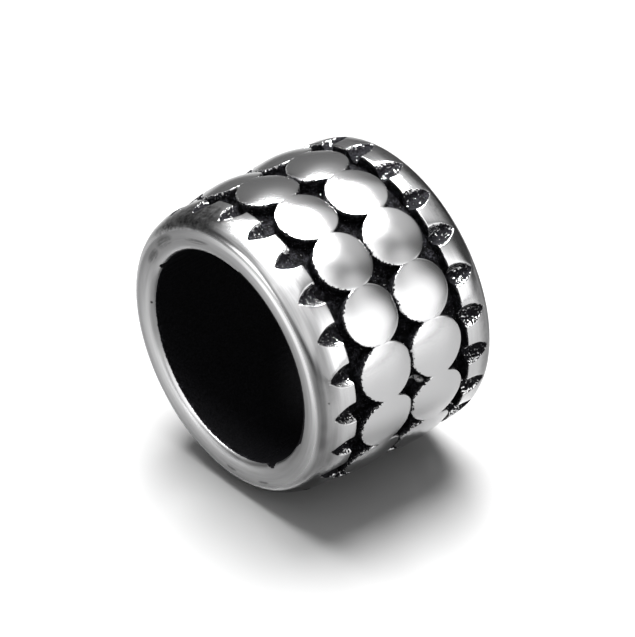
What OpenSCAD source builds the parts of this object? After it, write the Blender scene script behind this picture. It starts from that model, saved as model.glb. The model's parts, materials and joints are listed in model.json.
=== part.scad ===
// Cast steel bead for a dreadlock: a short tube with two plain rims and rows of raised discs between them.
// The bore runs along X, and the origin is the middle of the bore. The bead lies on its side, with Z up.
// Sizes are in millimetres and angles in degrees.

/* [Tube] */
// Diameter of the bore that the lock of hair goes through
bore_d = 8.6; // [7.6:0.1:10]
// Thickness of the tube's wall under the dark floor
wall_t = 0.95; // [0.8:0.05:1.4]
// Height of the discs' crowns above the dark floor
relief = 0.75; // [0.6:0.05:0.9]
// Rounding where the bore opens into each end face
lip_r = 0.28; // [0.1:0.02:0.4]

/* [Rims] */
// Width of each plain rim along the bore
rim_w = 1.48; // [1.3:0.02:2]
// How far the rims lie below the crowns of the discs, next to the groove
rim_drop = 0.18; // [0.1:0.02:0.35]
// How much the rim falls from the groove to the start of its rounded edge
rim_fall = 0.08; // [0.02:0.02:0.2]
// Rounding of the rim's outer edge
rim_edge_r = 0.66; // [0.4:0.02:0.8]

/* [Discs] */
// Rows of discs side by side
row_count = 2; // [1:1:3]
// Discs in each row
disc_count = 16; // [14:1:18]
// Width of the neck where two discs of one row run together
neck_w = 0.74; // [0.5:0.02:1]
// Length of the seam where two rows touch
seam_w = 0.44; // [0.3:0.02:0.6]
// Radius of each disc's domed face
dome_r = 3.7; // [3:0.1:4.5]

/* [Groove and notches] */
// Clear width of the groove between the discs and each rim
groove_w = 0.3; // [0.2:0.02:0.5]
// Notches cut into the inner edge of each rim
notch_count = 22; // [18:1:24]
// Length of a notch, from the groove to its point
notch_l = 1.0; // [0.7:0.05:1.1]
// Greatest width of a notch
notch_w = 0.86; // [0.6:0.02:1]
// Depth of a notch where it opens into the groove
notch_depth = 0.5; // [0.3:0.05:0.6]
// Depth of a notch at its point
notch_tip_depth = 0.05; // [0.02:0.01:0.1]
// Turn of the first notch, counted from the bottom of the bead
notch_turn = 7; // [0:0.5:16]

/* [Hidden] */
$fn = 96;
bore_r = bore_d / 2;
floor_r = bore_r + wall_t;
outer_r = floor_r + relief;
rim_r = outer_r - rim_drop;
disc_pitch = 360 / disc_count;
// Half the way from a disc to its neighbour in the row. Both reach past it, so that a neck joins them.
half_chord = outer_r * sin(disc_pitch / 2);
disc_r = norm([half_chord, neck_w / 2]);
// Rows stand so close that their discs overlap along a seam
row_pitch = 2 * sqrt(disc_r * disc_r - seam_w * seam_w / 4);
band_half = (row_count - 1) * row_pitch / 2 + disc_r;
rim_start = band_half + groove_w;
rim_end = rim_start + rim_w;
// Foot of a disc, sunk into the tube's wall
foot_r = (floor_r + bore_r) / 2;
// Extra length on cutting shapes, so that they pass right through
over = 1;

// Half of the turned body's section, from the floor between the discs round one rim to the bore.
// A point is a radius and a place along the bore.
half_section = [
    [floor_r, rim_start],
    [rim_r, rim_start],
    [rim_r - rim_fall, rim_end - rim_edge_r],
    [rim_r - rim_fall, rim_end],
    [bore_r, rim_end],
];
last_point = len(half_section) - 1;
other_half = [for (i = [last_point : -1 : 0]) [half_section[i].x, -half_section[i].y]];

// What the rounded outer edge takes off the corner of the rim
module edge_waste() {
    translate([rim_r - rim_fall - rim_edge_r, rim_end - rim_edge_r])
        difference() {
            square(rim_edge_r + over);
            circle(rim_edge_r);
        }
}

// What the rounded lip takes off the corner between the bore and the end face
module lip_waste() {
    translate([bore_r + lip_r, rim_end - lip_r])
        difference() {
            translate([-lip_r - over, 0]) square(lip_r + over);
            circle(lip_r);
        }
}

module turned_body() {
    rotate_extrude()
        difference() {
            polygon(concat(half_section, other_half));
            for (side = [0, 1])
                mirror([0, side]) {
                    edge_waste();
                    lip_waste();
                }
        }
}

// One raised disc with a domed face, standing on the tube along its own X axis
module disc() {
    rotate([0, 90, 0])
        rotate(45)
            intersection() {
                translate([0, 0, foot_r]) cylinder(h = outer_r, r = disc_r);
                translate([0, 0, outer_r - dome_r]) sphere(dome_r);
            }
}

// Rows of discs, turned so that the bead rests on two neighbours of each row
module disc_rows() {
    for (row = [0 : row_count - 1])
        translate([0, 0, (row - (row_count - 1) / 2) * row_pitch])
            for (i = [0 : disc_count - 1])
                rotate((i + 0.5) * disc_pitch) disc();
}

// One notch: a pointed arch that lies along the rim, with a floor that drops towards the groove
module notch() {
    // The arch is the overlap of two round bars, and its widest place is a little way inside the rim
    wide_z = rim_start + notch_l / 8;
    reach = rim_start + notch_l - wide_z;
    arch_r = (reach * reach + notch_w * notch_w / 4) / notch_w;
    tip_r = rim_r - rim_fall - notch_tip_depth;
    floor_slope = atan((tip_r - rim_r + notch_depth) / notch_l);
    intersection() {
        translate([floor_r, notch_w / 2 - arch_r, wide_z]) rotate([0, 90, 0]) cylinder(h = over, r = arch_r);
        translate([floor_r, arch_r - notch_w / 2, wide_z]) rotate([0, 90, 0]) cylinder(h = over, r = arch_r);
        translate([tip_r, 0, rim_start + notch_l])
            rotate([0, floor_slope, 0])
                translate([0, -notch_w, -notch_l - groove_w / 2]) cube([over, 2 * notch_w, 2 * notch_l]);
        translate([floor_r, -notch_w, rim_start - groove_w / 2]) cube([over, 2 * notch_w, rim_w]);
    }
}

module notch_rings() {
    for (side = [0, 1])
        mirror([0, 0, side])
            for (i = [0 : notch_count - 1])
                rotate(notch_turn + i * 360 / notch_count) notch();
}

module bead() {
    color("silver")
        rotate([0, 90, 0])
            difference() {
                union() {
                    turned_body();
                    disc_rows();
                }
                notch_rings();
            }
}

bead();
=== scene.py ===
"""Cast steel bead for a dreadlock: a short tube with two plain rims and two rows of raised discs.

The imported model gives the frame. The bead is modelled again here in finer detail, with its polished and
blackened finish, and a plain studio stands round it. Lengths are in metres and angles in radians.
"""

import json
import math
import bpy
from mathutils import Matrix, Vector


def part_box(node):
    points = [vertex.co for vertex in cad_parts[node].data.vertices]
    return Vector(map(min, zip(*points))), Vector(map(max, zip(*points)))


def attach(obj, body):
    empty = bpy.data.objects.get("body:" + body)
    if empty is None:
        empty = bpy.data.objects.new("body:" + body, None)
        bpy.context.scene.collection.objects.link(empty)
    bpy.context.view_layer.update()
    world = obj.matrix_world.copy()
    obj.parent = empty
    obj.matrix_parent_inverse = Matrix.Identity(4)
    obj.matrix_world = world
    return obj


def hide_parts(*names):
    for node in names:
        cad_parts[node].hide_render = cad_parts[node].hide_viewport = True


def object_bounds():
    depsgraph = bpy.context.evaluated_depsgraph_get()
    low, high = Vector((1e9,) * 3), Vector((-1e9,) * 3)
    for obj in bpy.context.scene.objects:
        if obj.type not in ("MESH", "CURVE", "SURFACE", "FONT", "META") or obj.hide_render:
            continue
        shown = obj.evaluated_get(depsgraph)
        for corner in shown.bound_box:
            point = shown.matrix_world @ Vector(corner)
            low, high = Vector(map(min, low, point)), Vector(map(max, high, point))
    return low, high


bl_info = {
    "name": "Dreadlock Bead",
    "version": (1, 0, 0),
    "blender": (4, 5, 0),
    "location": "View3D > Sidebar > Bead",
    "description": "Models a cast steel bead with rows of raised discs, and a plain studio round it",
    "category": "Add Mesh",
}

import bmesh
import bpy
from bpy.props import FloatProperty, FloatVectorProperty, IntProperty, PointerProperty
from mathutils import Matrix, Vector, noise

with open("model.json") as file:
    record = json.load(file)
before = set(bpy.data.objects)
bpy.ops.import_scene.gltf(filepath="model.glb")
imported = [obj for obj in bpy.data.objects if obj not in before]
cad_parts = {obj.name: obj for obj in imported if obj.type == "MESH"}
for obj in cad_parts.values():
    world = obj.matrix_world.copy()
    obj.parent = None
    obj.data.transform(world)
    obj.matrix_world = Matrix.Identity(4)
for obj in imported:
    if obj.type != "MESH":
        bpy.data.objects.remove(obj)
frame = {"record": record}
CAD_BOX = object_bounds()

MM = 0.001
BOX_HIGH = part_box("bead")[1]
BORE = frame["record"]["mounts"][0]["dims"]
X_AXIS = Vector((1, 0, 0))
ORIGIN = Vector((0, 0, 0))


def length(name, description, default):
    """A length that shows in the panel in the scene's own unit. The default is in millimetres."""
    return FloatProperty(
        name=name,
        description=description,
        default=default * MM,
        subtype="DISTANCE",
        unit="LENGTH",
        precision=5,
    )


def turn(name, description, default):
    """An angle, with its default in degrees"""
    return FloatProperty(
        name=name, description=description, default=math.radians(default), subtype="ANGLE", unit="ROTATION"
    )


def tint(name, description, default):
    """A colour"""
    return FloatVectorProperty(
        name=name, description=description, default=default, size=3, subtype="COLOR", min=0, max=1
    )


class BeadSizes(bpy.types.PropertyGroup):
    """Sizes of the casting"""

    bore_radius: length("Bore radius", "Radius of the hole that the lock of hair goes through", BORE["r_mm"])
    half_length: length("Half length", "From the middle of the bore to an end face", BOX_HIGH.x / MM)
    crown_radius: length("Crown radius", "From the bore's axis to the crown of a disc", 6.0)
    floor_radius: length("Floor radius", "From the bore's axis to the dark floor between the discs", 5.25)
    disc_count: IntProperty(
        name="Discs in a row", description="Discs round the bead", default=16, min=8, max=24
    )
    neck_width: length("Neck width", "Width of the neck between two discs of one row", 0.74)
    seam_width: length("Seam width", "Length of the seam where two rows touch", 0.44)
    seam_depth: length("Seam depth", "Depth of the crevice along that seam", 0.16)
    dome_radius: length("Dome radius", "Radius of a disc's domed face", 3.7)
    edge_round: length("Edge rounding", "Rounding that tumbling has left on raised edges", 0.026)
    groove_width: length("Groove width", "Clear width of the groove between the discs and a rim", 0.3)
    rim_radius: length("Rim radius", "From the bore's axis to the rim beside the groove", 5.82)
    face_radius: length("Face radius", "From the bore's axis to where the rim rounds into the end face", 5.08)
    lip_round: length("Lip rounding", "Rounding where the bore opens into an end face", 0.28)
    notch_count: IntProperty(
        name="Notches", description="Notches round each rim", default=22, min=12, max=30
    )
    notch_length: length("Notch length", "From the groove to a notch's point", 1.0)
    notch_width: length("Notch width", "Greatest width of a notch", 0.86)
    notch_depth: length("Notch depth", "Depth of a notch where it opens into the groove", 0.5)
    notch_turn: turn("Notch turn", "Turn of the first notch from the bottom of the bead", 7)
    near_turn: turn("Near notches", "How much further the notches of the near rim are turned", 0.5)
    far_turn: turn("Far notches", "How much further the notches of the far rim are turned", 1.1)
    row_drift: length("Row drift", "How far the rows of discs sit towards the far end", 0.05)
    waviness: length("Waviness", "How far hand finishing has taken the faces down unevenly", 0.009)
    roughness: length("Casting roughness", "Height of the rough grain in the blackened hollows", 0.035)


class BeadFinish(bpy.types.PropertyGroup):
    """Colours of the casting"""

    steel: tint("Steel", "Colour of the polished steel", (0.4, 0.4, 0.403))
    blackening: tint("Blackening", "Colour of the blackened hollows", (0.0006, 0.0006, 0.0007))
    polish: FloatProperty(
        name="Polish roughness",
        description="Roughness of the polished steel",
        default=0.17,
        subtype="FACTOR",
        min=0,
        max=1,
    )
    satin: FloatProperty(
        name="Satin roughness",
        description="Roughness of the turned end faces",
        default=0.34,
        subtype="FACTOR",
        min=0,
        max=1,
    )


class StudioSettings(bpy.types.PropertyGroup):
    """The camera and the plain studio"""

    azimuth: turn("Camera azimuth", "Turn of the line of sight from the Y axis towards the X axis", 39.676)
    elevation: turn("Camera elevation", "Height of the camera above the horizon", 36.412)
    roll: turn("Camera roll", "Turn of the camera about its line of sight", -0.647)
    distance: length("Camera distance", "From the camera to the middle of the bore", 417.1)
    lens: FloatProperty(name="Lens", description="Focal length in millimetres", default=628.8)
    aim_right: length("Aim to the right", "How far the view's middle lies right of the bore's middle", 0.199)
    aim_up: length("Aim upwards", "How far the view's middle lies above the bore's middle", -0.139)
    paper: tint("Paper", "Colour of the paper that the bead lies on", (0.13, 0.13, 0.13))


# Casting: shape

# Square grid of a disc's face: its steps, and where its rings lie between the middle and the outline
DISC_SEGMENTS = 10
RING_SHARES = (0.0, 0.24, 0.48, 0.71, 0.9, 0.985)
# Shares of a ring's side that end at the ends of a neck and of the seam
NECK_SHARE = 0.4
SEAM_SHARE = 0.2
# Share of the way to a neck where the dome starts to level out
NECK_BEND = 0.6
# Share of the groove's width that belongs to the discs' floor, where the rim's mesh is joined on
FLOOR_SHARE = 0.3
# Edges and walls, in shares of the edge rounding: drop of the worn edge, start of the plain wall under it,
# and size of the fillet at the wall's foot
EDGE_DROP = 0.75
WALL_DROP = 2.6
FILLET = 0.3
# Width of a rim's worn edge, and how far its wall and foot reach into the groove, in the same shares
EDGE_WIDTH = 1.2
FOOT_SLANT = 0.1
FOOT_REACH = 0.35
# How square the rim's rounded section is: 2 is an ellipse
RIM_POWER = 2.4
# Places on the rim's section: shares of a notch's length, degrees round the outer rounding and round the
# lip, and shares of the way from the bead's middle to the lip
NOTCH_STATIONS = (0.2, 0.34, 0.48, 0.62, 0.75, 0.86, 0.94, 1.0, 1.07)
ROUNDING_STATIONS = (50, 58, 66, 74, 82, 90)
LIP_STATIONS = (0, 30, 60, 90)
BORE_STATIONS = (0.7, 0.35, 0.0)
# Where a notch is widest, as a share of its length from the groove
NOTCH_WIDEST = 1 / 8
# Columns of faces from one notch of a rim to the next, and those of the wall's top and the start of the
# land between two notches, counted from a notch's middle
NOTCH_COLUMNS = 12
WALL_COLUMN = 3
LAND_COLUMN = 4
# A notch's wall leans in by a share of its depth, but leaves a share of the notch for its floor, and no
# notch gets narrower than twice the last value
WALL_SLOPE = 0.6
LEAST_FOOT = 0.32
LEAST_HALF_WIDTH = 0.05 * MM
# Place of the floor's own column between a notch's middle and its wall, and the power of the floor's rise
FLOOR_COLUMN = 0.55
FLOOR_POWER = 0.85
# Worn top of a notch's wall, in shares of the edge rounding: from its outline inwards and outwards, and how
# far it drops, but no further than a share of the depth
WALL_TOP = 0.2
LAND_START = 0.7
TOP_DROP = 0.8
TOP_SHARE = 0.6
# Worn edge of the land before a notch, counted from the bottom, and after one: how far it falls off, how
# wide the worn edge is, and the share of the fall that is left beyond it
LAND_EDGES = (
    (0.04 * MM, 0.075 * MM, 0.3),
    (0.012 * MM, 0.034 * MM, 0.85),
)
# How sharp the corners of the land are, from 0 to 1
LAND_CORNER = 0.7
# Shares of the groove's width before the rim between which the turn of a rim's notches sets in
GROOVE_TWIST = (0.8, 0.2)
# Far less than any size of the bead, and the same as a share of the edge rounding and for ratios
HAIR = 0.001 * MM
SLACK = 1e-3
TINY = 1e-6
# How close points lie that become one: between two discs, on the mirror's plane, and in the whole mesh
ROW_MERGE = 0.01 * MM
MIRROR_MERGE = 0.005 * MM
LAST_MERGE = 0.003 * MM
# Nicks in the lip at the near end: turn from the top, depth, and widths before and after the deepest place
LIP_NICKS = (
    (math.radians(217), 0.17 * MM, 0.55 * MM, 0.14 * MM),
    (math.radians(62), 0.1 * MM, 0.3 * MM, 0.14 * MM),
)

# Casting: blackening, and painted shade in the bore, on the discs' borders and in the low notches

# How dark the bore is painted as shade, how dark blackening leaves the floor and the seam between two rows,
# and how dark the painted shade on the borders of the discs is, where 0 is bare and 1 is a full hollow
BORE_BLACK = 1.5
FLOOR_BLACK = 1.2
BORDER_BLACK = 0.55
SEAM_BLACK = 0.85
# Half the width of the soft border of the bore's painted shade on the lip and how far out it starts anew,
# the skin that counts as the bore's wall, and the half length of the seam's dark border as a share of the
# seam
SOFT_EDGE = 0.02 * MM
BORE_SKIN = 0.1 * MM
SEAM_REACH = 0.7
# Edge of the lip that the bore's painted shade covers, and the turn from the top to the side where it is
# wider: how much wider, and the cosines of the angle from there where that starts and is full
LIP_EDGE = 0.03 * MM
LIP_DARK_TURN = math.radians(300)
LIP_DARK_WIDTH = 0.25 * MM
LIP_DARK_COSINES = (0.5, 0.72)
# Notches on the back side, and far ones on the front side: shares of the depth, each with how dark it is
# there
DARK_NOTCH = ((0.0, 0.0), (0.04, 0.3), (0.4, 1.0))
FAR_NOTCH = ((0.0, 0.0), (0.04, 0.22), (0.5, 0.84))
# Near notches on the front side change with their height on the bead, in shares of its radius: where the low
# ones, painted darker as shade near the paper, end, where bare walls start and end, and where the blackening
# stops setting in slowly
LOW_NOTCHES = (-0.6, -0.4)
BARE_STARTS = (-0.35, 0.2)
BARE_ENDS = (0.35, 0.6)
SLOW_NOTCHES = (-0.6, -0.2)
# In shares of their depth, how far their walls are bare at least and how much more, and how much further
# down they are black, quickly and slowly. Blackening shows first after a small step. Then how dark it is
# after that step and in the end, each with how much darker the low notches are painted, as painted shade
LEAST_BARE = 0.05
MORE_BARE = 0.2
SETS_IN = 0.25
SETS_IN_SLOWLY = 0.35
FIRST_STEP = 0.04
NEAR_BLACK = ((0.12, 0.3), (0.9, 0.2))
# Least depth that a notch is taken to have, and the border over which its blackening ends beside it
LEAST_DEPTH = 0.08 * MM
NOTCH_BORDER = (-0.012 * MM, -0.002 * MM)
# Rubbed corners of the far notches: shares of a notch's width to one side of its middle, distances from the
# groove, the heights over which they end, and how bare they are
RUB_SHARES = (0.05, 0.3)
RUB_LENGTHS = (0.3 * MM, 0.7 * MM)
RUB_HEIGHTS = (0.8, 0.88)
RUB_STRENGTH = 0.8
# Painted shade on the border of a disc, on its side towards the near end: its width, and the shares of the
# disc's radius towards the near end where it starts and is full. The seam's dark border, and the depths on a
# disc's and a rim's wall where blackening starts and is full
BORDER_WIDTH = 0.06 * MM
BORDER_SHARES = (-0.1, 0.6)
SEAM_BORDER = (0.02 * MM, 0.1 * MM)
DISC_WALL = (0.01 * MM, 0.18 * MM)
RIM_WALL = (0.03 * MM, 0.18 * MM)
# Cells per metre of the waviness and of the coarse and fine grain, and the shares of the fine grain and of
# the grain that shows in the bore
WAVE_CELLS = 600
GRAIN_CELLS = 5200
FINE_CELLS = 11000
FINE_GRAIN = 0.7
BORE_GRAIN = 0.3


def between(value, low, high):
    """Share of the way from low to high, held between 0 and 1"""
    return min(1.0, max(0.0, (value - low) / (high - low)))


def eased(value, low, high):
    """As between, with a soft start and end"""
    share = between(value, low, high)
    return share * share * (3 - 2 * share)


def along(value, stops):
    """Straight-line steps through pairs of a place and a value"""
    for (low, first), (high, last) in zip(stops, stops[1:]):
        if value <= high:
            return first + (last - first) * between(value, low, high)
    return stops[-1][1]


class DiscForm:
    """Plan and height of one disc. In its plan, u runs round the bead and v runs along the bore."""

    def __init__(self, sizes):
        self.crown = sizes.crown_radius
        self.dome = sizes.dome_radius
        self.half_turn = math.pi / sizes.disc_count
        self.half_chord = self.crown * math.sin(self.half_turn)
        self.radius = math.hypot(self.half_chord, sizes.neck_width / 2)
        self.row_offset = math.sqrt(self.radius**2 - (sizes.seam_width / 2) ** 2)
        self.neck_angle = math.atan2(sizes.neck_width / 2, self.half_chord)
        self.seam_angle = math.atan2(sizes.seam_width / 2, self.row_offset)

    def reach(self, angle):
        """From the disc's middle to its outline, cut off at the necks and at the seam"""
        far = self.radius
        if abs(math.cos(angle)) > TINY:
            far = min(far, self.half_chord / abs(math.cos(angle)))
        if math.sin(angle) < -TINY:
            far = min(far, self.row_offset / -math.sin(angle))
        return far

    def side_stops(self, share, angle):
        """Places along one side of a ring, each with its angle from that side's middle"""
        quarter = math.pi / 4
        return (-1, -quarter), (-share, -angle), (share, angle), (1, quarter)

    def ring_angle(self, across, up):
        """Angle on the disc for a place on the square grid's ring, with corners where necks and seam end"""
        quarter = math.pi / 4
        neck = self.side_stops(NECK_SHARE, self.neck_angle)
        seam = self.side_stops(SEAM_SHARE, self.seam_angle)
        if across >= abs(up):
            return along(up / across, neck)
        if -across >= abs(up):
            return math.pi - along(up / -across, neck)
        if up > 0:
            return math.pi / 2 - across / up * quarter
        return -math.pi / 2 + along(across / -up, seam)

    def height(self, u, v):
        """Distance of the domed face from the bore's axis. Towards the necks it levels out into a saddle."""
        share = min(1.0, abs(u) / self.half_chord)
        bend = NECK_BEND
        fall = share**2
        if share > bend:
            fall = bend**2 + (share - bend) * bend * (2 - (share - bend) / (1 - bend))
        round_drop = fall * self.half_chord**2 * (1 / self.dome - 1 / self.crown) / 2
        return self.crown - round_drop - v * v / (2 * self.dome)

    def plan(self, co):
        """Place of a point on the bead in the plan of the disc next to it"""
        turn = math.atan2(co.y, -co.z) % (2 * self.half_turn) - self.half_turn
        return self.crown * math.sin(turn), abs(co.x) - self.row_offset


def shape_disc_face(bm, form):
    """One domed face from a square grid whose rings are drawn out to the disc's outline"""
    bmesh.ops.create_grid(bm, x_segments=DISC_SEGMENTS, y_segments=DISC_SEGMENTS, size=1)
    for vert in bm.verts:
        across, up = vert.co.x, vert.co.y
        ring = max(abs(across), abs(up))
        if ring < TINY:
            vert.co = Vector((0, 0, form.height(0, 0)))
            continue
        angle = form.ring_angle(across, up)
        share = RING_SHARES[round(ring * (len(RING_SHARES) - 1))]
        u = share * form.reach(angle) * math.cos(angle)
        v = share * form.reach(angle) * math.sin(angle)
        vert.co = Vector((u, v, form.height(u, v)))


def extrude_rim(bm, edges):
    """Extrudes a run of edges. Gives back the new points, the edges between them and those leading there."""
    made = bmesh.ops.extrude_edge_only(bm, edges=edges)["geom"]
    verts = [part for part in made if isinstance(part, bmesh.types.BMVert)]
    new = set(verts)
    touching = dict.fromkeys(edge for vert in verts for edge in vert.link_edges)
    ahead = [edge for edge in touching if all(vert in new for vert in edge.verts)]
    across = [edge for edge in touching if not all(vert in new for vert in edge.verts)]
    return verts, ahead, across


class DiscTile:
    """One disc with its edge, its walls and its share of the dark floor"""

    def __init__(self, sizes, groove_line):
        self.sizes = sizes
        self.form = DiscForm(sizes)
        self.groove_line = groove_line
        self.slack = SLACK * sizes.edge_round
        self.bm = bmesh.new()
        self.sharp = self.bm.verts.layers.float.new("crease_vert")

    def at_neck(self, vert):
        return abs(vert.co.x) > self.form.half_chord - self.slack

    def at_seam(self, vert):
        return vert.co.y < -self.form.row_offset + self.slack

    def is_joined(self, edge):
        """Whether an edge of the outline lies along a neck or the seam, where the next disc goes on"""
        one, other = edge.verts
        along_neck = self.at_neck(one) and self.at_neck(other)
        return along_neck or (self.at_seam(one) and self.at_seam(other))

    def sharpen_ends(self, verts):
        """Keeps the corners sharp where a wall ends at a neck or the seam"""
        for vert in verts:
            vert[self.sharp] = 1.0 if self.at_neck(vert) or self.at_seam(vert) else 0.0

    def add_edge(self):
        """Runs the face out to the disc's outline and wears its edge down. Gives back the free edges."""
        verts, edges, _ = extrude_rim(self.bm, [edge for edge in self.bm.edges if edge.is_boundary])
        for vert in verts:
            angle = math.atan2(vert.co.y, vert.co.x)
            reach = self.form.reach(angle)
            vert.co.x = reach * math.cos(angle)
            vert.co.y = reach * math.sin(angle)
            vert.co.z = self.form.height(vert.co.x, vert.co.y)
            if self.at_seam(vert):
                vert.co.z -= self.sizes.seam_depth
        free = [edge for edge in edges if not self.is_joined(edge)]
        worn = dict.fromkeys(vert for edge in free for vert in edge.verts)
        for vert in worn:
            vert.co.z -= EDGE_DROP * self.sizes.edge_round
        self.sharpen_ends(worn)
        return free

    def add_wall(self, free):
        """Drops the wall down to its fillet. Gives back the edges at its foot and those that run down it."""
        step = self.sizes.edge_round
        verts, free, _ = extrude_rim(self.bm, free)
        for vert in verts:
            vert.co.z -= WALL_DROP * step
        self.sharpen_ends(verts)
        verts, foot, wall = extrude_rim(self.bm, free)
        for vert in verts:
            vert.co.z = self.sizes.floor_radius + FILLET * step
            if not (self.at_neck(vert) or self.at_seam(vert)):
                outwards = vert.co.to_2d().normalized() * FILLET * step
                vert.co.x += outwards.x
                vert.co.y += outwards.y
        return foot, wall

    def add_floor(self, foot):
        """Runs the floor out to the groove's line and in to the corners, and gives back its edges to both"""
        form = self.form
        verts, _, floor = extrude_rim(self.bm, foot)
        inner = {vert for vert in verts if vert.co.y < 0}
        free_turn = math.pi / 2 - form.neck_angle
        for vert in verts:
            vert.co.z = self.sizes.floor_radius
            if vert in inner:
                vert.co.x = math.copysign(form.half_chord, vert.co.x)
                vert.co.y = -form.row_offset
                continue
            from_middle = math.pi / 2 - math.atan2(vert.co.y, vert.co.x)
            vert.co.x = form.half_chord * max(-1.0, min(1.0, from_middle / free_turn))
            vert.co.y = self.groove_line - form.row_offset
        to_corners = [edge for edge in floor if any(vert in inner for vert in edge.verts)]
        to_groove = [edge for edge in floor if edge not in to_corners]
        return to_groove, to_corners

    def bend(self):
        """Wraps the flat tile round the bore"""
        form = self.form
        for vert in self.bm.verts:
            angle = math.asin(max(-1.0, min(1.0, vert.co.x / form.crown))) + form.half_turn
            along_bore = vert.co.y + form.row_offset
            radius = vert.co.z
            vert.co = Vector((along_bore, radius * math.sin(angle), -radius * math.cos(angle)))

    def build(self):
        """The tile's mesh"""
        shape_disc_face(self.bm, self.form)
        foot, wall = self.add_wall(self.add_edge())
        to_groove, to_corners = self.add_floor(foot)
        bmesh.ops.subdivide_edges(self.bm, edges=wall + to_groove, cuts=1, use_grid_fill=True)
        bmesh.ops.subdivide_edges(self.bm, edges=to_corners, cuts=2, use_grid_fill=True)
        self.bend()
        bmesh.ops.remove_doubles(self.bm, verts=self.bm.verts, dist=self.slack)
        return self.bm


def add_disc_row(bm, sizes, groove_line):
    """Turns copies of one disc's tile round the bore and joins them"""
    tile = DiscTile(sizes, groove_line).build()
    mesh = bpy.data.meshes.new("disc_tile")
    tile.to_mesh(mesh)
    tile.free()
    bm.from_mesh(mesh)
    bpy.data.meshes.remove(mesh)
    turn = 2 * math.pi * (sizes.disc_count - 1) / sizes.disc_count
    bmesh.ops.spin(
        bm,
        geom=bm.verts[:] + bm.edges[:] + bm.faces[:],
        cent=ORIGIN,
        axis=X_AXIS,
        dvec=ORIGIN,
        angle=turn,
        space=Matrix.Identity(4),
        steps=sizes.disc_count - 1,
        use_duplicate=True,
    )
    bmesh.ops.remove_doubles(bm, verts=bm.verts, dist=ROW_MERGE)


class RimForm:
    """Section of a rim, and the plan of its notches"""

    def __init__(self, sizes, rim_start):
        self.sizes = sizes
        self.start = rim_start
        self.end = sizes.half_length
        self.tip = rim_start + sizes.notch_length
        reach = (1 - NOTCH_WIDEST) * sizes.notch_length
        self.arch_middle = NOTCH_WIDEST * sizes.notch_length
        self.arch_radius = (reach**2 + sizes.notch_width**2 / 4) / sizes.notch_width

    def surface(self, x):
        """Radius of the rim's outside at a place along the bore: flat beside the groove, then rolling over"""
        share = between(x, self.start, self.end)
        height = (1 - share**RIM_POWER) ** (1 / RIM_POWER)
        return self.sizes.face_radius + (self.sizes.rim_radius - self.sizes.face_radius) * height

    def half_width(self, x):
        """Half the width of a notch at a place along the bore"""
        from_wide = max(x - self.start - self.arch_middle, -self.arch_middle)
        inside = self.arch_radius**2 - from_wide**2
        if inside <= 0:
            return 0.0
        return max(0.0, math.sqrt(inside) - self.arch_radius + self.sizes.notch_width / 2)

    def beside_notch(self, co):
        """How far round the bead a point on the rim lies from the middle of the notch next to it"""
        turn = math.atan2(co.y, -co.z) - self.sizes.notch_turn
        return math.remainder(turn, 2 * math.pi / self.sizes.notch_count) * self.sizes.rim_radius

    def notch_floor(self, x):
        """Radius of a notch's floor at a place along the bore"""
        low = self.sizes.rim_radius - self.sizes.notch_depth
        return low + (self.surface(self.tip) - low) * between(x, self.start, self.tip) ** FLOOR_POWER

    def stations(self):
        """Places from the groove's floor over the rim and the end face into the bore"""
        sizes = self.sizes
        step = sizes.edge_round
        lip_x = self.end - sizes.lip_round
        lip_r = sizes.bore_radius + sizes.lip_round
        edge_x = self.start + EDGE_WIDTH * step
        places = [
            (self.start - FOOT_REACH * step, sizes.floor_radius),
            (self.start - FOOT_SLANT * step, sizes.floor_radius + FILLET * step),
            (self.start, sizes.rim_radius - WALL_DROP * step),
            (self.start, sizes.rim_radius - EDGE_DROP * step),
            (edge_x, self.surface(edge_x)),
        ]
        for share in NOTCH_STATIONS:
            x = self.start + share * sizes.notch_length
            places.append((x, self.surface(x)))
        for angle in ROUNDING_STATIONS:
            share = math.sin(math.radians(angle)) ** (2 / RIM_POWER)
            x = self.start + share * (self.end - self.start)
            places.append((x, self.surface(x)))
        places.append((self.end, (sizes.face_radius + lip_r) / 2))
        for angle in LIP_STATIONS:
            bend = math.radians(angle)
            x = lip_x + sizes.lip_round * math.cos(bend)
            places.append((x, lip_r - sizes.lip_round * math.sin(bend)))
        for share in BORE_STATIONS:
            places.append((lip_x * share, sizes.bore_radius))
        return places

    def columns(self, x, depth, land_edge):
        """Distances round the bead from a notch's middle to each column, up to half way to the next notch"""
        step = self.sizes.edge_round
        width = max(self.half_width(min(x, self.tip)), LEAST_HALF_WIDTH)
        foot = max(width - WALL_SLOPE * depth, LEAST_FOOT * width)
        land = width + LAND_START * step
        half_pitch = math.pi / self.sizes.notch_count * self.sizes.rim_radius
        return 0.0, FLOOR_COLUMN * foot, foot, width - WALL_TOP * step, land, land + land_edge, half_pitch


def add_rim(bm, sizes, form):
    """Spins the rim's section round the bore, then sinks the notches into it"""
    rim = bmesh.new()
    rim.verts.layers.float.new("crease_vert")
    previous = None
    for x, radius in form.stations():
        vert = rim.verts.new((x, 0, -radius))
        if previous:
            rim.edges.new((previous, vert))
        previous = vert
    bmesh.ops.spin(
        rim,
        geom=rim.verts[:] + rim.edges[:],
        cent=ORIGIN,
        axis=X_AXIS,
        dvec=ORIGIN,
        angle=2 * math.pi,
        space=Matrix.Identity(4),
        steps=sizes.notch_count * NOTCH_COLUMNS,
        use_merge=True,
    )
    sink_notches(rim, sizes, form)
    mesh = bpy.data.meshes.new("rim")
    rim.to_mesh(mesh)
    rim.free()
    bm.from_mesh(mesh)
    bpy.data.meshes.remove(mesh)


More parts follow.
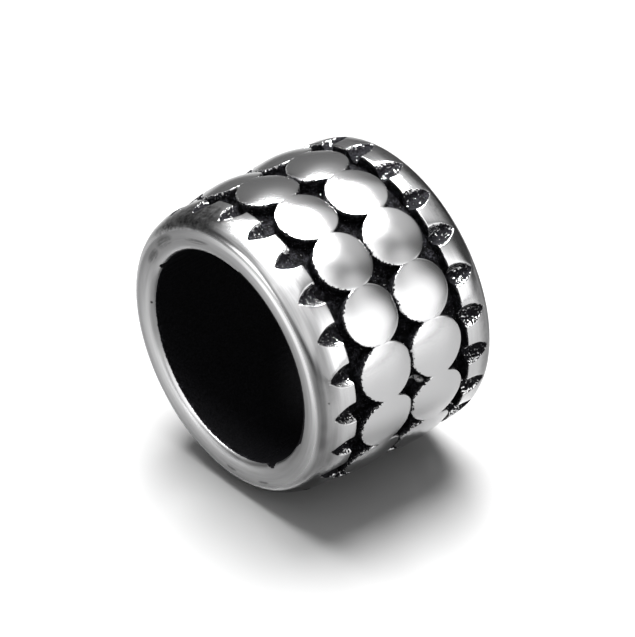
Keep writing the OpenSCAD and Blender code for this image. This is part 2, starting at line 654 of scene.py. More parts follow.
def notched(sizes, form, x, radius, column, side):
    """New radius of a point of the rim's outside, and its distance from the middle of its notch"""
    step = sizes.edge_round
    surface = form.surface(max(x, form.start))
    floor = form.notch_floor(max(x, form.start))
    depth = max(0.0, surface - floor)
    fall, edge, rest = LAND_EDGES[side > 0]
    offset = form.columns(x, depth, edge)[column]
    if x < form.tip and column < WALL_COLUMN:
        radius = min(radius, floor)
    elif x < form.tip and column == WALL_COLUMN:
        radius = min(radius, surface - min(TOP_DROP * step, TOP_SHARE * depth))
    elif radius > sizes.floor_radius + step:
        worn = fall * (1, 1, 1, 1, 1, rest, 0)[column]
        radius -= worn * (1 - between(x, form.start, form.tip))
    return radius, offset


def sink_notches(rim, sizes, form):
    """Draws the spun columns in to the notches' outlines and lowers those that lie inside one"""
    pitch = 2 * math.pi / sizes.notch_count
    fade_end = (form.tip + form.end) / 2
    edge_end = form.start + EDGE_WIDTH * sizes.edge_round
    sharp = rim.verts.layers.float["crease_vert"]
    for vert in rim.verts:
        x = vert.co.x
        radius = math.hypot(vert.co.y, vert.co.z)
        place = math.atan2(vert.co.y, -vert.co.z) / pitch
        notch = round(place)
        column = round((place - notch) * NOTCH_COLUMNS)
        side = math.copysign(1, column)
        column = abs(column)
        offset = even = column / NOTCH_COLUMNS * pitch
        if radius > sizes.floor_radius - sizes.edge_round and x < fade_end:
            radius, distance = notched(sizes, form, x, radius, column, side)
            pinched = distance / sizes.rim_radius
            offset = pinched + (even - pinched) * eased(x, form.tip, fade_end)
            if form.start - HAIR < x < edge_end + HAIR:
                vert[sharp] = LAND_CORNER if column == LAND_COLUMN else 0.0
        angle = notch * pitch + side * offset + sizes.notch_turn
        vert.co = Vector((x, radius * math.sin(angle), -radius * math.cos(angle)))


def boundary_at(bm, low, high):
    """Open edges whose middle lies between two places along the bore"""
    found = []
    for edge in bm.edges:
        middle = (edge.verts[0].co.x + edge.verts[1].co.x) / 2
        if edge.is_boundary and low < middle < high:
            found.append(edge)
    return found


def nick_depth(co):
    """How far the nicks of the lip reach out from the bore at a place"""
    deepest = 0.0
    for turn, depth, before, after in LIP_NICKS:
        away = math.remainder(math.atan2(co.y, co.z) - turn, 2 * math.pi) * math.hypot(co.y, co.z)
        share = 1 + away / before if away < 0 else 1 - away / after
        deepest = max(deepest, depth * share)
    return deepest


def lip_edge(sizes, co):
    """Radius where the bore's painted shade stops on the lip: further out on one side and at nicks"""
    radius = math.hypot(co.y, co.z)
    towards_dark_side = (math.cos(LIP_DARK_TURN) * co.z + math.sin(LIP_DARK_TURN) * co.y) / radius
    edge = LIP_EDGE + LIP_DARK_WIDTH * eased(towards_dark_side, *LIP_DARK_COSINES)
    if co.x < 0:
        edge = max(edge, LIP_EDGE + nick_depth(co))
    return sizes.bore_radius + edge


def notch_wear_and_shade(near_end, front_side, height):
    """How a notch's blackening sets in: shares of its depth, each with how dark it is there. Low notches are
    painted darker, as painted shade
    """
    if not front_side:
        return DARK_NOTCH
    if not near_end:
        return FAR_NOTCH
    # Low notches near the paper get painted shade: no bare walls and darker black
    low = 1 - eased(height, *LOW_NOTCHES)
    bare = MORE_BARE * eased(height, *BARE_STARTS) * (1 - eased(height, *BARE_ENDS))
    worn = (LEAST_BARE + bare) * (1 - low)
    whole = worn + SETS_IN + SETS_IN_SLOWLY * eased(height, *SLOW_NOTCHES)
    first, last = (black + more * low for black, more in NEAR_BLACK)
    return (worn, 0.0), (worn + FIRST_STEP, first), (whole, last)


def notch_blackness(sizes, rim, co):
    """How dark a place on a rim is: only in the notches, and less in the rubbed corners of the far ones"""
    radius = math.hypot(co.y, co.z)
    x = abs(co.x)
    height = co.z / radius
    depth = rim.surface(x) - radius
    deepest = max(rim.surface(x) - rim.notch_floor(x), LEAST_DEPTH)
    beside = rim.beside_notch(co)
    covered = eased(rim.half_width(x) - abs(beside), *NOTCH_BORDER)
    if co.x > 0:
        rubbed = eased(-beside / sizes.notch_width, *RUB_SHARES)
        rubbed *= 1 - eased(x - rim.start, *RUB_LENGTHS)
        covered *= 1 - RUB_STRENGTH * rubbed * (1 - eased(height, *RUB_HEIGHTS))
    return along(depth / deepest, notch_wear_and_shade(co.x < 0, co.y < 0, height)) * covered


def disc_blackness(sizes, disc, co):
    """How dark a place is between the grooves: bare on the discs but for painted shade on their borders and
    blackening in the seam, black on the floor
    """
    radius = math.hypot(co.y, co.z)
    u, v = disc.plan(co)
    from_middle = math.hypot(u, v)
    if from_middle > disc.reach(math.atan2(v, u)) + SOFT_EDGE:
        return FLOOR_BLACK
    # Painted shade on the disc's border, on its side towards the near end; the seam's blackening is the
    # casting's own
    near_side = v if co.x < 0 else -v
    on_border = 1 - eased(disc.radius - from_middle, 0.0, BORDER_WIDTH)
    crevice = BORDER_BLACK * on_border * eased(near_side / disc.radius, *BORDER_SHARES)
    if abs(u) < SEAM_REACH * sizes.seam_width:
        crevice = max(crevice, SEAM_BLACK * (1 - eased(abs(co.x), *SEAM_BORDER)))
    return max(crevice, FLOOR_BLACK * eased(disc.height(u, v) - radius, *DISC_WALL))


def blackness(sizes, disc, rim, co):
    """How dark a place is: blackened in the hollows, with painted shade in the bore, on the near side of the
    discs' borders and in the low notches. 0 on polished faces, 1 or more in the hollows and the bore
    """
    radius = math.hypot(co.y, co.z)
    x = abs(co.x)
    # The two branches below paint the bore and the edge of its lip black, as painted shade for the bore's
    # dark inside
    if x > rim.tip:
        edge = lip_edge(sizes, co)
        return BORE_BLACK * (1 - eased(radius, edge - SOFT_EDGE, edge + SOFT_EDGE))
    if radius < sizes.bore_radius + BORE_SKIN:
        return BORE_BLACK
    if x > rim.start + SOFT_EDGE:
        return notch_blackness(sizes, rim, co)
    if x > rim.start - FILLET * sizes.edge_round:
        return FLOOR_BLACK * eased(sizes.rim_radius - radius, *RIM_WALL)
    return disc_blackness(sizes, disc, co)


def settled(sizes, rim, co):
    """Where a point of the even casting lies once the rims are turned and the rows of discs have drifted"""
    turned = sizes.near_turn if co.x < 0 else sizes.far_turn
    twist = [rim.start - share * sizes.groove_width for share in GROOVE_TWIST]
    turned *= eased(abs(co.x), *twist)
    drift = sizes.row_drift * eased(rim.end - abs(co.x), 0.0, rim.end - rim.tip)
    return Matrix.Rotation(turned, 3, X_AXIS) @ co + drift * X_AXIS


def roughen(bm, sizes, disc, rim):
    """Wears the polished faces a little under their true shape, and makes the hollows rough as cast"""
    layer = bm.verts.layers.float.new("blackness")
    for vert in bm.verts:
        co = vert.co.copy()
        black = blackness(sizes, disc, rim, co)
        wave = (noise.noise(co * WAVE_CELLS) - 1) / 2
        grain = noise.noise(co * GRAIN_CELLS) + FINE_GRAIN * noise.noise(co * FINE_CELLS)
        if abs(co.x) > rim.tip:
            grain = min(grain, 0.0) * BORE_GRAIN
        co += vert.normal * (wave * sizes.waviness + grain * sizes.roughness * min(black, 1.0))
        vert.co = settled(sizes, rim, co)
        vert[layer] = black


def coarse_casting(sizes, disc, rim):
    """The whole bead as one closed mesh, still coarse"""
    groove_line = disc.row_offset + disc.radius + FLOOR_SHARE * sizes.groove_width
    bm = bmesh.new()
    add_disc_row(bm, sizes, groove_line)
    add_rim(bm, sizes, rim)
    groove = boundary_at(bm, groove_line - HAIR, rim.start)
    bmesh.ops.bridge_loops(bm, edges=groove)
    bmesh.ops.mirror(bm, geom=bm.verts[:] + bm.edges[:] + bm.faces[:], axis="X", merge_dist=MIRROR_MERGE)
    bmesh.ops.remove_doubles(bm, verts=bm.verts, dist=LAST_MERGE)
    bmesh.ops.recalc_face_normals(bm, faces=bm.faces)
    mesh = bpy.data.meshes.new("bead_casting")
    bm.to_mesh(mesh)
    bm.free()
    return mesh


def smoothed(context, piece):
    """The piece's mesh with one level of subdivision"""
    smooth = piece.modifiers.new("Smoothing", "SUBSURF")
    smooth.levels = 1
    smooth.render_levels = 1
    mesh = bpy.data.meshes.new_from_object(piece.evaluated_get(context.evaluated_depsgraph_get()))
    piece.modifiers.remove(smooth)
    return mesh


class BEAD_OT_casting(bpy.types.Operator):
    """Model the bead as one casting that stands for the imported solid"""

    bl_idname = "bead.casting"
    bl_label = "Bead casting"

    def execute(self, context):
        sizes = context.scene.bead_sizes
        disc = DiscForm(sizes)
        rim = RimForm(sizes, disc.row_offset + disc.radius + sizes.groove_width)
        coarse = coarse_casting(sizes, disc, rim)
        piece = bpy.data.objects.new("bead_casting", coarse)
        context.scene.collection.objects.link(piece)
        fine = smoothed(context, piece)
        piece.data = fine
        bpy.data.meshes.remove(coarse)
        bm = bmesh.new()
        bm.from_mesh(fine)
        bm.verts.layers.float.remove(bm.verts.layers.float["crease_vert"])
        roughen(bm, sizes, disc, rim)
        for face in bm.faces:
            face.smooth = True
        bm.to_mesh(fine)
        bm.free()
        fine.materials.append(steel_material(context.scene.bead_finish))
        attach(piece, "root")
        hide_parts("bead")
        return {"FINISHED"}


# Materials


class Socket:
    """A node's output that takes part in sums. A sum adds its Math nodes to the material."""

    def __init__(self, graph, socket):
        self.graph = graph
        self.socket = socket

    def math(self, operation, *others, clamp=False):
        node = self.graph.add("ShaderNodeMath", {"operation": operation, "use_clamp": clamp}, [self, *others])
        return node.out(0)

    def __add__(self, other):
        return self.math("ADD", other)

    __radd__ = __add__

    def __sub__(self, other):
        return self.math("SUBTRACT", other)

    def __rsub__(self, other):
        return self.graph.add("ShaderNodeMath", {"operation": "SUBTRACT"}, [other, self]).out(0)

    def __mul__(self, other):
        return self.math("MULTIPLY", other)

    __rmul__ = __mul__

    def __truediv__(self, other):
        return self.math("DIVIDE", other)

    def clamped(self):
        return self.math("ADD", 0.0, clamp=True)

    def absolute(self):
        return self.math("ABSOLUTE")

    def largest(self, other):
        return self.math("MAXIMUM", other)

    def smallest(self, other):
        return self.math("MINIMUM", other)

    def eased(self, low, high, start=0.0, end=1.0):
        """Soft step from start to end while the value goes from low to high"""
        settings = {"interpolation_type": "SMOOTHSTEP"}
        values = {"Value": self, "From Min": low, "From Max": high, "To Min": start, "To Max": end}
        return self.graph.add("ShaderNodeMapRange", settings, values).out("Result")


class Placed:
    """A node in a graph, with its outputs at hand"""

    def __init__(self, graph, node):
        self.graph = graph
        self.node = node

    def out(self, name):
        return Socket(self.graph, self.node.outputs[name])


class Graph:
    """A material's or world's node tree"""

    def __init__(self, owner):
        owner.use_nodes = True
        self.tree = owner.node_tree
        self.tree.nodes.clear()

    def add(self, kind, settings=None, inputs=None):
        """Adds one node: its settings first, then the values or links of its sockets"""
        node = self.tree.nodes.new(kind)
        for name, value in (settings or {}).items():
            setattr(node, name, value)
        pairs = inputs.items() if isinstance(inputs, dict) else enumerate(inputs or ())
        for name, value in pairs:
            if isinstance(value, Socket):
                self.tree.links.new(value.socket, node.inputs[name])
            elif value is not None:
                node.inputs[name].default_value = value
        return Placed(self, node)

    def blend(self, factor, first, second):
        """Colour that goes from first to second with the factor"""
        node = self.add("ShaderNodeMix", {"data_type": "RGBA"}, {0: factor, 6: first, 7: second})
        return node.out(2)

    def tone(self, colour, share):
        """Colour times a share"""
        node = self.add("ShaderNodeVectorMath", {"operation": "SCALE"}, {0: colour, "Scale": share})
        return node.out("Vector")

    def noise(self, place, scale, detail, roughness):
        """Cloudy noise between 0 and 1, with a middle of about a half"""
        inputs = {"Vector": place, "Scale": scale, "Detail": detail, "Roughness": roughness}
        return self.add("ShaderNodeTexNoise", None, inputs).out("Fac")

    def ramp(self, value, stops):
        """Grey that follows a value through stops, each a place from 0 to 1 and a shade"""
        placed = self.add("ShaderNodeValToRGB", None, {"Fac": value})
        elements = placed.node.color_ramp.elements
        while len(elements) < len(stops):
            elements.new(1.0)
        for element, (position, shade) in zip(elements, stops):
            element.position = position
            element.color = (shade, shade, shade, 1.0)
        return placed.out("Color")


def rgba(colour, times=1):
    """A colour with its alpha, made so many times brighter"""
    return (*(times * channel for channel in colour), 1.0)


# Noises on the steel, from broad patches to fine dust: cells per metre, detail and roughness
NOISES = {
    "patches": (420, 3, 0.6),
    "blotches": (1100, 1, 0.5),
    "ragged": (5200, 3, 0.6),
    "grain": (13000, 2, 0.6),
    "dust": (16000, 2, 0.7),
}
# Turning marks: cells per millimetre across the section, cells round the bead, detail and roughness
STREAKS_ACROSS = 9
STREAKS_ROUND = 2.5
STREAK_NOISE = (1, 3, 0.6)
# How strongly the noises fray the edge of the blackening, and how much calmer that edge is on the lip
FRAYING = {"blotches": 0.6, "ragged": 1.8, "grain": 3.1}
LIP_CALM = 0.75
# Blackness at which soot starts and covers the steel, and at which it lies as in a hollow and as the
# bore's painted shade
SOOT_STARTS = (0.01, 0.08)
SOOT_COVERS = (0.3, 0.44)
IN_HOLLOW = (0.92, 1.12)
IN_BORE = (1.22, 1.4)
# How many times brighter than the blackening its dust is: in hollows, in the bore's painted shade, where
# it stands for lighter specks, and where soot lies thin, which has a brighter ground as well
HOLLOW_DUST = 26
BORE_SHADE_SPECKS = 6
THIN_GROUND = 3
THIN_DUST = 20
# How many times brighter than the steel the rubbed place in a hollow is, a painted highlight on bare steel
RUB_SHINE = 1.5
# Values of the noises between which specks start and are full: dust in hollows, the ragged clouds that it
# comes in, lighter specks in the bore's painted shade, dust in thin soot, and grain on the rubbed place
SPECKS = (0.4, 0.68)
SPECK_GAPS = (0.42, 0.6)
BORE_SPECKS = (0.3, 0.7)
THIN_SPECKS = (0.4, 0.75)
RUB_GRAIN = (0.3, 0.6)

# Bands over a rim's section, each from where it starts to where it is full. A place on the section is the
# distance along the bore less the distance from its axis, in millimetres, and grows from groove to lip.
ON_RIM = (-3.2, -2.4)
ON_FACE = (-1.12, -0.95)
FAR_SHADE = (-1.85, -1.55)
FAR_MOTTLE = (-2.6, -2.1)
# How free the steel is of tarnish and painted shade over that section, from the end face over the
# rounding to the groove
CLEAN_AND_UNSHADED = (
    (-1.0, 1.0),
    (-1.34, 0.3),
    (-1.6, 0.4),
    (-2.05, 0.5),
    (-2.5, 1.0),
)
# Places along the bore, in millimetres, between which the far end starts
FAR_END = (0, 1)
# Distances from the bore's axis, in millimetres: the band where the lip starts, and the end of the lip
ON_LIP = (4.75, 4.6)
LIP_END = 4.6
# Patches on the rims and end faces: the turn from the top that a patch lies round, in degrees, the cosines
# of the angle from there where it starts and where it is full, its bands over the section, its bands in
# distances from the axis, and how strong it is. Those round 145 and 320 degrees, and the one round 30 near
# the lip, are painted highlights. Those round 70, 90, 170, 190, 275 and 297 degrees are painted shade. The
# upper face is darker towards the top, and the stain is a stain of the near rim
PATCHES = {
    "upper_face": (20, (0.5, 1.0), (), (), 0.18),
    "face_highlight": (145, (0.0, 0.95), (), (), 1.0),
    "painted_face_shade": (275, (0.5, 0.95), (), (), 0.28),
    "top_lip_highlight": (30, (0.3, 0.897), ((-0.42, -0.25),), (), 0.5),
    "outer_highlight": (320, (0.5, 1.0), ((-0.76, -0.86), (-1.06, -0.98)), (), 1.6),
    "left_lip": (70, (0.35, 0.8), (), ((4.46, 4.3),), 0.7),
    "left_face": (90, (0.85, 0.98), (), ((4.66, 4.42),), 0.52),
    "low_lip": (170, (0.925, 0.985), (), ((4.58, 4.46),), 0.3),
    "low_lip_end": (190, (0.804, 0.925), (), ((4.58, 4.46),), 0.25),
    "dark_line": (275, (0.9, 0.98), ((-1.0, -1.2), (-1.75, -1.5)), (), 0.45),
    "dark_shoulder": (297, (0.93, 1.0), ((-1.65, -1.95), (-2.5, -2.2)), (), 0.45),
    "stain": (30, (0.897, 0.987), ((-3.0, -2.4),), (), 1.0),
}
# Turn from the top towards which the end faces get brighter outwards with a painted highlight, how fast,
# and how fast darker on the other side with painted shade
RISE_TURN = 300
RISE = 2.21
FALL = 0.9
# Turn of the underside, and the depths towards it where its painted shade starts and is full
UNDER_TURN = 210.5
UNDER_DEPTH = (-3.04, 4.06)
# Darkening of the rims' rounding: a band of painted shade all over, tarnish in patches between these
# values of their noise, and painted shade on the underside, with the share of that on the far rim
BAND_SHADE = 0.15
PATCHY_TARNISH = 0.3
TARNISH_RANGE = (0.3, 0.62)
UNDER_SHADE = 0.6
FAR_SHARE = 0.5
# Clouds in the stain, the scuffs and the far rim's mottle: weights of the ragged noise and of the turning
# marks, and what is added to both. Scuffs start and are full between two values of theirs
STAIN_CLOUDS = (2.2, 0, -0.65)
SCUFF_CLOUDS = (0.6, 2.2, 0.25)
MOTTLE_CLOUDS = (1.6, 2, -0.7)
SCUFF_RANGE = (0.2, 0.8)
# How much darker scuffs, the shaded and the mottled part of the far rim and pits are, and how strongly
# turning marks show
SCUFF_DARK = 0.6
SHADE_DARK = 0.86
MOTTLE_DARK = 0.6
PIT_DARK = 0.9
STREAK_LIGHT = 0.5
# How bright the satin end faces are, and the most that any steel may be
FACE_SHADE = 0.57
BRIGHTEST = 2.2
# Roughness of soot, and how much the turning marks change that of steel
SOOT_ROUGHNESS = 0.6
STREAK_ROUGHNESS = 0.12
# Gloss of soot, and how steel tints what it mirrors at a low angle
SOOT_GLOSS = 0.02
GRAZING_TINT = (0.7, 0.7, 0.7, 1.0)
# Heights of the fine relief, in millimetres: cast grain, dust, turning marks and pits
GRAIN_HEIGHT = 0.03
DUST_HEIGHT = 0.008
STREAK_HEIGHT = 0.0012
PIT_DEPTH = 0.012

# Marks on the bead, in millimetres and degrees: place along the bore, turn from the top, distance out from
# the bore's axis, half length round the bead and half width. First the pits in the near rim and lip
PITS = (
    (-3.86, 278.8, 5.66, 0.09, 0.09),
    (-3.9, 265.5, 5.64, 0.07, 0.06),
    (-3.91, 244.6, 5.64, 0.12, 0.08),
    (-3.84, 294, 5.67, 0.15, 0.06),
    (-3.8, 291.5, 5.69, 0.1, 0.05),
    (-4.165, 88.6, 4.42, 0.08, 0.08),
)
# Dark scuffs on the near end face
SCUFFS = (
    (-4.2, 46, 4.93, 0.8, 0.3),
    (-4.2, 60, 4.84, 0.65, 0.24),
    (-4.2, 20, 4.78, 0.9, 0.12),
    (-4.2, 182.7, 4.97, 0.35, 0.14),
    (-4.2, 204.5, 5.08, 0.4, 0.14),
)
# Bare place in the hollow between four discs, painted brighter as a painted highlight
HOLLOW_RUB = (0.4, 268.6, 5.5, 0.1, 0.34)
# Squared distances from a mark's middle where its soft border starts and ends, in shares of its half sizes
MARK_BORDER = (0.1, 1.0)


class Steel:
    """Masks and colours of the tumbled steel, in millimetres. Each method adds its nodes to the graph."""

    def __init__(self, graph, finish):
        self.graph = graph
        self.finish = finish
        self.place = graph.add("ShaderNodeTexCoord").out("Object")
        self.black = graph.add("ShaderNodeAttribute", {"attribute_name": "blackness"}).out("Fac")
        axes = graph.add("ShaderNodeSeparateXYZ", None, {"Vector": self.place})
        self.x, self.y, self.z = (axes.out(name) * (1 / MM) for name in "XYZ")
        self.out = (self.y * self.y + self.z * self.z).math("SQRT")
        self.section = self.x.absolute() - self.out
        self.noises = {name: graph.noise(self.place, *kind) for name, kind in NOISES.items()}
        self.on_face = self.section.eased(*ON_FACE)
        self.far = self.x.eased(*FAR_END)
        self.pits = self.marks(*PITS)
        self.streaks = self.turning_marks()
        self.soot = self.soot_cover()
        self.hollows = self.black.eased(*IN_HOLLOW)

    def towards(self, turn):
        """How far a place lies from the bore's axis towards a turn from the top, in degrees"""
        angle = math.radians(turn)
        return self.y * math.sin(angle) + self.z * math.cos(angle)

    def facing(self, turn):
        """Cosine of the angle round the bore from a turn"""
        return self.towards(turn) / self.out

    def patch(self, name):
        """Strength of one of the patches at a place"""
        turn, cosines, sections, distances, strength = PATCHES[name]
        share = self.facing(turn).eased(*cosines) * strength
        for band in sections:
            share = share * self.section.eased(*band)
        for band in distances:
            share = share * self.out.eased(*band)
        return share

    def marks(self, *marks):
        """1 inside any of the marks, which are soft ovals"""
        found = 0.0
        for along_bore, turn, out, long, wide in marks:
            ahead = (self.x - along_bore) / wide
            around = self.towards(turn + 90) / long
            outward = (self.towards(turn) - out) / wide
            away = ahead * ahead + around * around + outward * outward
            found = away.eased(*MARK_BORDER, 1.0, 0.0).largest(found)
        return found

    def turning_marks(self):
        """Streaks round the rims and end faces, below 0 where darker and above 0 where lighter"""
        scales = {"X": self.section * STREAKS_ACROSS}
        scales["Y"] = self.facing(90) * STREAKS_ROUND
        scales["Z"] = self.facing(0) * STREAKS_ROUND
        stretched = self.graph.add("ShaderNodeCombineXYZ", None, scales).out("Vector")
        return (self.graph.noise(stretched, *STREAK_NOISE) - 0.5) * self.section.eased(*ON_RIM)

    def clouds(self, ragged, streaks, base):
        """Ragged clouds, from the weights of the ragged noise and of the turning marks"""
        return self.noises["ragged"] * ragged + self.streaks * streaks + base

    def soot_cover(self):
        """How much of the steel the blackening covers, with a frayed edge"""
        loose = 0.0
        for name, strength in FRAYING.items():
            loose = (self.noises[name] - 0.5) * strength + loose
        calm = 1 - self.out.eased(*ON_LIP) * LIP_CALM
        return (self.black + loose * calm).eased(*SOOT_COVERS) * self.black.eased(*SOOT_STARTS)

    def soot_colour(self):
        """Blackening with its dust: thin on the way into a hollow, then thick, and darker in the bore, where
        it is painted shade
        """
        blend, noises, blackening = self.graph.blend, self.noises, self.finish.blackening
        in_bore = self.black.eased(*IN_BORE)
        specks = noises["dust"].eased(*SPECKS) * noises["ragged"].eased(*SPECK_GAPS) * (1 - in_bore)
        thick = blend(specks, rgba(blackening), rgba(blackening, HOLLOW_DUST))
        # The bore's painted shade, with lighter specks in it
        thick = blend(in_bore * noises["dust"].eased(*BORE_SPECKS), thick, rgba(blackening, BORE_SHADE_SPECKS))
        # The rubbed place is bare steel, painted brighter than steel as a painted highlight
        rubbed = self.marks(HOLLOW_RUB) * noises["grain"].eased(*RUB_GRAIN)
        thick = blend(rubbed, thick, rgba(self.finish.steel, RUB_SHINE))
        dusty = noises["dust"].eased(*THIN_SPECKS)
        thin = blend(dusty, rgba(blackening, THIN_GROUND), rgba(blackening, THIN_DUST))
        return blend(self.hollows, thin, thick)

    def face_light(self):
        """Brightness of the end faces, with painted highlights and painted shade on them and on the lip"""
        facing = self.facing(RISE_TURN)
        outer = self.out - LIP_END
        # Painted highlights: outwards towards one side of the end face, on the lip near the top and on the
        # outer edge; painted shade outwards on the other side
        rise = facing.largest(0) * outer.largest(0) * RISE + (facing * outer).smallest(0) * FALL
        painted_face_light = rise + self.patch("top_lip_highlight") + self.patch("outer_highlight") + 1
        # Painted shade on the lip and on the left of the end face
        left = self.patch("left_lip").largest(self.patch("left_face"))
        inner = left.largest(self.patch("low_lip") + self.patch("low_lip_end"))
        scuffs = self.marks(*SCUFFS) * self.clouds(*SCUFF_CLOUDS).eased(*SCUFF_RANGE) * SCUFF_DARK
        # The worn factor below holds no wear: darker towards the top, painted shade on one side, a painted
        # highlight low down
        worn = (1 - self.patch("upper_face")) * (1 - self.patch("painted_face_shade"))
        worn = worn * (1 + self.patch("face_highlight"))
        return worn * painted_face_light * (1 - inner) * (1 - scuffs) * FACE_SHADE

    def rim_light(self):
        """Brightness of the discs and rims, with patchy tarnish and painted shade on the rims' rounding and a
        stain on the near rim
        """
        low, high = CLEAN_AND_UNSHADED[-1][0], CLEAN_AND_UNSHADED[0][0]
        stops = [((place - low) / (high - low), share) for place, share in reversed(CLEAN_AND_UNSHADED)]
        clean_and_unshaded = self.graph.ramp((self.section - low) / (high - low), stops)
        # Painted shade on the underside and, in part, on the far rim
        under = self.towards(UNDER_TURN).eased(*UNDER_DEPTH).largest(self.far * FAR_SHARE)
        patchy = self.noises["patches"].eased(*TARNISH_RANGE) * PATCHY_TARNISH
        tarnish_and_shade = (1 - clean_and_unshaded) * (patchy + under * UNDER_SHADE + BAND_SHADE)
        stain = self.patch("stain") * (1 - self.far) * self.clouds(*STAIN_CLOUDS).clamped()
        return (1 - tarnish_and_shade) * (1 - stain)

    def steel_light(self):
        """Brightness of the bare steel all over the bead, with painted shade along the near rim's rounding
        and on the far rim's outer edge
        """
        light = self.rim_light() * (1 - self.on_face) + self.face_light() * self.on_face
        # Painted shade along the near rim's rounding and shoulder, on its right side
        dark = self.patch("dark_line").largest(self.patch("dark_shoulder")) * (1 - self.far)
        light = light * (1 + self.streaks * STREAK_LIGHT) * (1 - dark)
        shaded = self.section.eased(*FAR_SHADE) * SHADE_DARK
        mottle = self.section.eased(*FAR_MOTTLE) * self.clouds(*MOTTLE_CLOUDS).clamped() * MOTTLE_DARK
        light = light * (1 - shaded.largest(mottle) * self.far) * (1 - self.pits * PIT_DARK)
        return light.largest(0).smallest(BRIGHTEST)

    def roughness(self):
        """Polished on the discs, satin on the end faces and dull under soot"""
        satin = self.on_face * (self.finish.satin - self.finish.polish)
        brushed = self.finish.polish + satin + self.streaks * STREAK_ROUGHNESS
        return brushed * (1 - self.soot) + self.soot * SOOT_ROUGHNESS

    def relief(self):
        """Height of the fine relief"""
        grain = self.noises["grain"] * self.black * (1 - self.hollows / 2) * GRAIN_HEIGHT
        dust = self.noises["dust"] * self.soot * DUST_HEIGHT
        return grain + dust + self.streaks * STREAK_HEIGHT - self.pits * PIT_DEPTH


def steel_material(finish):
    """Tumbled steel that is polished on top, satin with painted highlights and shade on the end faces,
    patchily tarnished with painted shade on the rims' rounding, black in the hollows and painted black as
    shade in the bore
    """
    material = bpy.data.materials.new("tumbled_steel")
    graph = Graph(material)
    steel = Steel(graph, finish)
    bare = graph.tone(finish.steel, steel.steel_light())
    relief = {"Strength": 1.0, "Distance": 1.0, "Height": steel.relief() * MM}
    surface = graph.add(
        "ShaderNodeBsdfPrincipled",
        None,
        {
            "Base Color": graph.blend(steel.soot, bare, steel.soot_colour()),
            "Metallic": 1 - steel.soot,
            "Roughness": steel.roughness(),
            "Normal": graph.add("ShaderNodeBump", None, relief).out("Normal"),
            "Specular IOR Level": SOOT_GLOSS,
            "Specular Tint": GRAZING_TINT,
        },
    ).out("BSDF")
    graph.add("ShaderNodeOutputMaterial", None, {"Surface": surface})
    return material


def paper_material(colour):
    """White paper under the bead, which falls off into shade further away"""
    material = bpy.data.materials.new("white_paper")
    graph = Graph(material)
    place = graph.add("ShaderNodeTexCoord").out("Object")
    away = graph.add("ShaderNodeVectorMath", {"operation": "DISTANCE"}, {0: place, 1: LIT_MIDDLE})
    lit = graph.tone(colour, away.out("Value").eased(LIT_RADIUS, 2 * LIT_RADIUS, 1.0, UNLIT))
    surface = graph.add("ShaderNodeBsdfPrincipled", None, {"Base Color": lit, "Roughness": PAPER_ROUGHNESS})
    graph.add("ShaderNodeOutputMaterial", None, {"Surface": surface.out("BSDF")})
    return material


# Studio


# Softboxes: name, compass angle and height above the horizon in degrees, width, height and brightness
SOFTBOXES = (
    ("overhead_light", 36, 72.7, 0.448, 0.448, 58),
    ("left_light", 294, 2, 0.22, 0.48, 3.5),
)
SOFTBOX_DISTANCE = 0.5
# Width of the sheet of paper, middle and radius of its well-lit part, and the share of light far from there
PAPER_WIDTH = 1.2
LIT_MIDDLE = (17 * MM, -30 * MM, 0)
LIT_RADIUS = 50 * MM
UNLIT = 0.2
PAPER_ROUGHNESS = 0.25
# Width of the camera's picture plane, in millimetres
SENSOR_WIDTH = 36
# Brightness of the studio's walls, and soft glows on them: compass angle and height of the middle, angles
# from there where a glow ends and where it is full, all in degrees, and its brightness
WALL_SHADE = 0.2
WALL_GLOWS = (
    (160, 9, 44, 13, 3.2),
    (140, 56, 26, 6, 0.5),
    (228, 46, 46, 25, 2.3),
    (210, 76, 35, 12, 0.75),
    (195, 8, 40, 15, 0.8),
    (88, 50, 34, 12, 1.0),
    (320, 62, 40, 15, 1.3),
    (282, 20, 34, 10, 0.8),
    (35, 12, 30, 8, 0.2),
    (40, 40, 20, 6, 0.2),
)


def direction(azimuth, elevation):
    """Unit vector for a compass angle from +Y towards +X and a height above the horizon, in degrees"""
    a, e = math.radians(azimuth), math.radians(elevation)
    return Vector((math.sin(a) * math.cos(e), math.cos(a) * math.cos(e), math.sin(e)))


def add_paper(studio):
    """The sheet of paper that the bead lies on"""
    bm = bmesh.new()
    bmesh.ops.create_grid(bm, x_segments=2, y_segments=2, size=PAPER_WIDTH / 2)
    bmesh.ops.translate(bm, verts=bm.verts, vec=(0, 0, CAD_BOX[0].z))
    mesh = bpy.data.meshes.new("paper")
    bm.to_mesh(mesh)
    bm.free()
    mesh.materials.append(paper_material(studio.paper))
    paper = bpy.data.objects.new("paper", mesh)
    bpy.context.scene.collection.objects.link(paper)


def studio_walls():
    """The walls round the bead, with their soft glows"""
    world = bpy.data.worlds.new("studio_walls")
    graph = Graph(world)
    sight = graph.add("ShaderNodeTexCoord").out("Generated")
    glow = WALL_SHADE
    for azimuth, elevation, wide, narrow, radiance in WALL_GLOWS:
        centre = direction(azimuth, elevation)
        near = graph.add("ShaderNodeVectorMath", {"operation": "DOT_PRODUCT"}, {0: sight, 1: centre})
        edge, core = math.cos(math.radians(wide)), math.cos(math.radians(narrow))
        glow = near.out("Value").eased(edge, core, 0.0, radiance) + glow
    walls = graph.add("ShaderNodeBackground", None, {"Strength": glow})
    graph.add("ShaderNodeOutputWorld", None, {"Surface": walls.out("Background")})
    return world


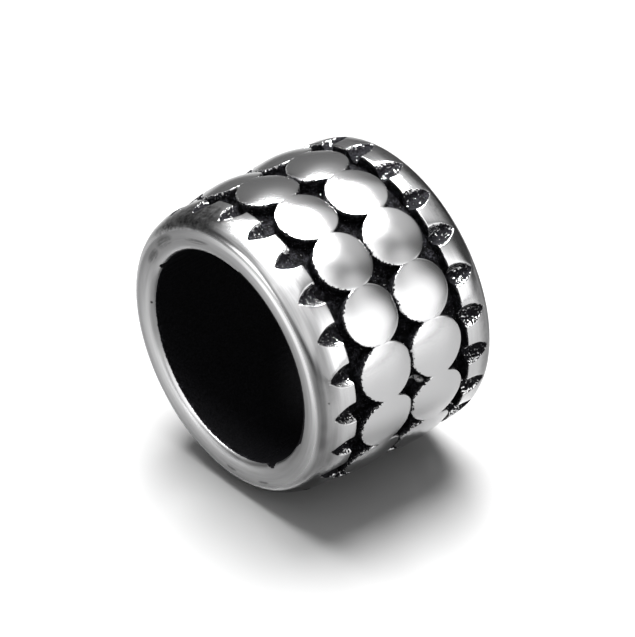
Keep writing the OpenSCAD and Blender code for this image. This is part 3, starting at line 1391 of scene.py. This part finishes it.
def add_softbox(name, azimuth, elevation, width, height, radiance):
    """An oval of soft light that faces the bead. Its power follows from how bright it looks."""
    data = bpy.data.lights.new(name, "AREA")
    data.shape = "ELLIPSE"
    data.size = width
    data.size_y = height
    data.energy = radiance * width * height * math.pi / 4 * math.pi
    light = bpy.data.objects.new(name, data)
    towards = direction(azimuth, elevation)
    light.location = towards * SOFTBOX_DISTANCE
    light.rotation_mode = "QUATERNION"
    light.rotation_quaternion = towards.to_track_quat("Z", "Y")
    bpy.context.scene.collection.objects.link(light)


def add_camera(studio):
    """Camera at the photographed angle"""
    cos_e, sin_e = math.cos(studio.elevation), math.sin(studio.elevation)
    cos_a, sin_a = math.cos(studio.azimuth), math.sin(studio.azimuth)
    sight = Vector((sin_a * cos_e, cos_a * cos_e, -sin_e))
    level = Vector((cos_a, -sin_a, 0))
    upright = level.cross(sight)
    cos_r, sin_r = math.cos(studio.roll), math.sin(studio.roll)
    right = level * cos_r + upright * sin_r
    up = upright * cos_r - level * sin_r
    data = bpy.data.cameras.new("camera")
    data.lens = studio.lens
    data.sensor_width = SENSOR_WIDTH
    camera = bpy.data.objects.new("camera", data)
    turn = Matrix((right, up, -sight)).transposed()
    place = -sight * studio.distance + right * studio.aim_right + up * studio.aim_up
    camera.matrix_world = Matrix.Translation(place) @ turn.to_4x4()
    bpy.context.scene.collection.objects.link(camera)
    bpy.context.scene.camera = camera


class BEAD_OT_studio(bpy.types.Operator):
    """Lay out the paper, the soft lights and the camera"""

    bl_idname = "bead.studio"
    bl_label = "Plain studio"

    def execute(self, context):
        studio = context.scene.bead_studio
        add_paper(studio)
        context.scene.world = studio_walls()
        for softbox in SOFTBOXES:
            add_softbox(*softbox)
        add_camera(studio)
        context.scene.view_settings.view_transform = "Standard"
        return {"FINISHED"}


class BEAD_PT_panel(bpy.types.Panel):
    """Everything that makes the bead and its studio"""

    bl_idname = "BEAD_PT_panel"
    bl_label = "Dreadlock bead"
    bl_space_type = "VIEW_3D"
    bl_region_type = "UI"
    bl_category = "Bead"

    def draw(self, context):
        for group in (context.scene.bead_sizes, context.scene.bead_finish, context.scene.bead_studio):
            box = self.layout.box()
            for name in group.__annotations__:
                box.prop(group, name)
        for operator in OPERATORS:
            self.layout.operator(operator.bl_idname)


OPERATORS = (BEAD_OT_casting, BEAD_OT_studio)
CLASSES = (BeadSizes, BeadFinish, StudioSettings, *OPERATORS, BEAD_PT_panel)


def register():
    for item in CLASSES:
        bpy.utils.register_class(item)
    bpy.types.Scene.bead_sizes = PointerProperty(type=BeadSizes)
    bpy.types.Scene.bead_finish = PointerProperty(type=BeadFinish)
    bpy.types.Scene.bead_studio = PointerProperty(type=StudioSettings)


def unregister():
    del bpy.types.Scene.bead_studio
    del bpy.types.Scene.bead_finish
    del bpy.types.Scene.bead_sizes
    for item in reversed(CLASSES):
        bpy.utils.unregister_class(item)


def main():
    register()
    bpy.ops.bead.studio()
    bpy.ops.bead.casting()


if __name__ == "__main__":
    main()
